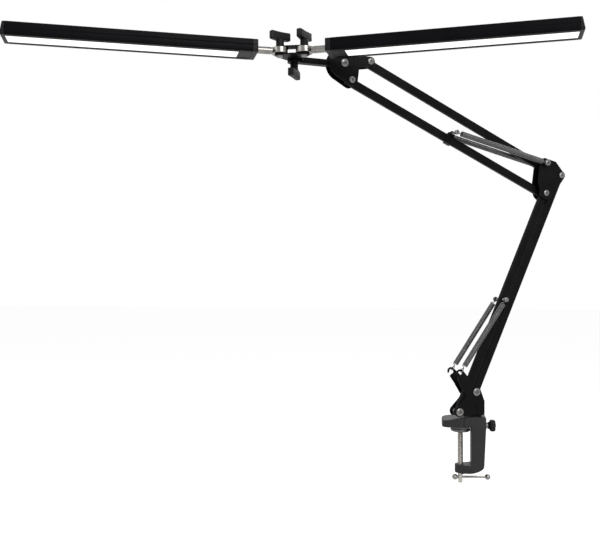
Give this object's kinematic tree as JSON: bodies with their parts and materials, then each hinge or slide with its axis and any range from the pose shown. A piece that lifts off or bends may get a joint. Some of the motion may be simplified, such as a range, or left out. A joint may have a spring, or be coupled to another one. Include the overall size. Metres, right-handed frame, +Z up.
{
  "type": "architect desk lamp",
  "caption": "Black double-bar LED desk lamp with a sprung swing arm, a turning knuckle for the light bars and a screw clamp for a desk's edge.",
  "frame": {"origin": "where the clamp screw's axis meets the underside of the top jaw, which rests on the desk", "axes": "+Z up along the clamp screw, +X from the jaw's tip towards the clamp's column, +Y to the left of +X"},
  "size_m": [0.7199, 0.3812, 0.62],
  "materials": {
    "powder": "satin black powder coat",
    "cast": "fine textured charcoal paint on a casting",
    "plastic": "matte moulded black",
    "bar": "satin black anodised extrusion",
    "nickel": "bright nickel plate",
    "zinc": "bright zinc plate",
    "spring": "dark drawn spring wire",
    "disc": "matte friction fibre",
    "diffuser": "frosted white, lit",
    "board": "white solder mask"
  },
  "bodies": {
    "clamp": {"clamp_body": "cast", "post_washer": "plastic"},
    "pad": {"swivel_pad": "nickel"},
    "screw": {"clamp_screw": "nickel"},
    "tommy": {"tommy_bar": "nickel", "tommy_bar_balls": "nickel"},
    "lock": {"lock_knob": "plastic", "lock_knob_screw": "nickel"},
    "base_bracket": {"base_post": "zinc", "base_plate_near": "powder", "base_plate_far": "powder", "base_rivets": "powder", "base_bolts": "zinc", "base_nuts": "zinc", "base_spacers": "zinc"},
    "lower_rear_arm": {"lower_rear_tube": "powder", "lower_rear_plugs": "plastic"},
    "lower_front_arm": {"lower_front_tube": "powder", "lower_front_plugs": "plastic", "lower_spring_pin": "zinc", "lower_spring_near": "spring", "lower_spring_far": "spring"},
    "elbow": {"elbow_plate_near": "powder", "elbow_plate_far": "powder", "elbow_bolts": "zinc", "elbow_nuts": "zinc", "elbow_studs": "zinc"},
    "upper_top_arm": {"upper_top_tube": "powder", "upper_top_plugs": "plastic"},
    "upper_bottom_arm": {"upper_bottom_tube": "powder", "upper_bottom_plugs": "plastic", "upper_spring_clip": "zinc", "upper_spring_pin": "zinc", "upper_spring_near": "spring", "upper_spring_far": "spring"},
    "head_bracket": {"head_plate_near": "powder", "head_plate_far": "powder", "head_bolts": "zinc", "head_nuts": "zinc", "head_spacers": "zinc"},
    "head_arm": {"head_arm": "powder", "friction_discs": "disc"},
    "knuckle": {"knuckle_plate": "powder", "knuckle_top_plate": "powder", "swivel_bolts": "zinc", "pan_bolt": "zinc"},
    "pan_knob": {"pan_knob": "plastic"},
    "left_knob": {"left_knob": "plastic"},
    "right_knob": {"right_knob": "plastic"},
    "left_swivel": {"left_rod": "nickel"},
    "right_swivel": {"right_rod": "nickel"},
    "left_bar": {"left_housing": "bar", "left_diffuser": "diffuser", "left_led_board": "board", "left_end_caps": "plastic"},
    "right_bar": {"right_housing": "bar", "right_diffuser": "diffuser", "right_led_board": "board", "right_end_caps": "plastic"}
  },
  "joints": [
    {"name": "clamp_travel", "type": "slide", "parent": "clamp", "child": "pad", "axis": [0, 0, 1], "range_m": [-0.042, 0.002]},
    {"name": "screw_turn", "type": "hinge", "parent": "pad", "child": "screw", "pos_m": [0, 0, -0.03], "axis": [0, 0, 1], "range_deg": [-12102, 585]},
    {"name": "tommy_slide", "type": "slide", "parent": "screw", "child": "tommy", "axis": [0.9903, 0.1392, 0], "range_m": [-0.0314, 0]},
    {"name": "lock_turn", "type": "hinge", "parent": "clamp", "child": "lock", "pos_m": [0.04, 0, 0.001], "axis": [1, 0, 0], "continuous": true},
    {"name": "base_swivel", "type": "hinge", "parent": "clamp", "child": "base_bracket", "pos_m": [0.022, 0, 0], "axis": [0, 0, 1], "continuous": true},
    {"name": "lower_arm", "type": "hinge", "parent": "base_bracket", "child": "lower_rear_arm", "pos_m": [0.01891, -0.00164, 0.0502], "axis": [0.4695, -0.8829, 0], "range_deg": [-2, 50]},
    {"name": "lower_follow", "type": "hinge", "parent": "base_bracket", "child": "lower_front_arm", "pos_m": [-0.00531, -0.01452, 0.02276], "axis": [0.4695, -0.8829, 0], "range_deg": [-2, 50], "deforming": ["lower_spring_near", "lower_spring_far"]},
    {"name": "elbow_level", "type": "hinge", "parent": "lower_rear_arm", "child": "elbow", "pos_m": [0.14804, 0.06702, 0.36818], "axis": [0.4695, -0.8829, 0], "range_deg": [-50, 2]},
    {"name": "upper_arm", "type": "hinge", "parent": "elbow", "child": "upper_bottom_arm", "pos_m": [0.12382, 0.05414, 0.34074], "axis": [0.4695, -0.8829, 0], "range_deg": [-55, 40], "deforming": ["upper_spring_near", "upper_spring_far"]},
    {"name": "upper_follow", "type": "hinge", "parent": "elbow", "child": "upper_top_arm", "pos_m": [0.14804, 0.06702, 0.36818], "axis": [0.4695, -0.8829, 0], "range_deg": [-55, 40]},
    {"name": "head_level", "type": "hinge", "parent": "upper_bottom_arm", "child": "head_bracket", "pos_m": [-0.15132, -0.09216, 0.48407], "axis": [0.4695, -0.8829, 0], "range_deg": [-40, 55]},
    {"name": "head_tilt", "type": "hinge", "parent": "head_bracket", "child": "head_arm", "pos_m": [-0.16104, -0.09732, 0.50607], "axis": [0.4695, -0.8829, 0], "range_deg": [-55, 55]},
    {"name": "head_pan", "type": "hinge", "parent": "head_arm", "child": "knuckle", "pos_m": [-0.2224, -0.12995, 0.50547], "axis": [0, 0, 1], "range_deg": [-60, 5]},
    {"name": "pan_knob_turn", "type": "hinge", "parent": "head_arm", "child": "pan_knob", "pos_m": [-0.2224, -0.12995, 0.48547], "axis": [0, 0, 1], "continuous": true},
    {"name": "left_swing", "type": "hinge", "parent": "knuckle", "child": "left_swivel", "pos_m": [-0.23749, -0.15123, 0.51157], "axis": [0, 0, 1], "range_deg": [-60, 45]},
    {"name": "right_swing", "type": "hinge", "parent": "knuckle", "child": "right_swivel", "pos_m": [-0.20552, -0.14983, 0.51157], "axis": [0, 0, 1], "range_deg": [-45, 5]},
    {"name": "left_knob_turn", "type": "hinge", "parent": "knuckle", "child": "left_knob", "pos_m": [-0.23749, -0.15123, 0.52657], "axis": [0, 0, 1], "continuous": true},
    {"name": "right_knob_turn", "type": "hinge", "parent": "knuckle", "child": "right_knob", "pos_m": [-0.20552, -0.14983, 0.52657], "axis": [0, 0, 1], "continuous": true},
    {"name": "left_roll", "type": "hinge", "parent": "left_swivel", "child": "left_bar", "pos_m": [-0.23749, -0.15123, 0.51157], "axis": [-0.9239, -0.3827, 0], "range_deg": [-90, 90]},
    {"name": "right_roll", "type": "hinge", "parent": "right_swivel", "child": "right_bar", "pos_m": [-0.20552, -0.14983, 0.51157], "axis": [0.9954, -0.0958, 0], "range_deg": [-90, 90]}
  ],
  "couplings": [
    {"joint": "screw_turn", "follows": "clamp_travel", "rad_per_m": 5026.5},
    {"joint": "lower_follow", "follows": "lower_arm", "ratio": 1},
    {"joint": "elbow_level", "follows": "lower_arm", "ratio": -1},
    {"joint": "upper_follow", "follows": "upper_arm", "ratio": 1},
    {"joint": "head_level", "follows": "upper_arm", "ratio": -1}
  ]
}
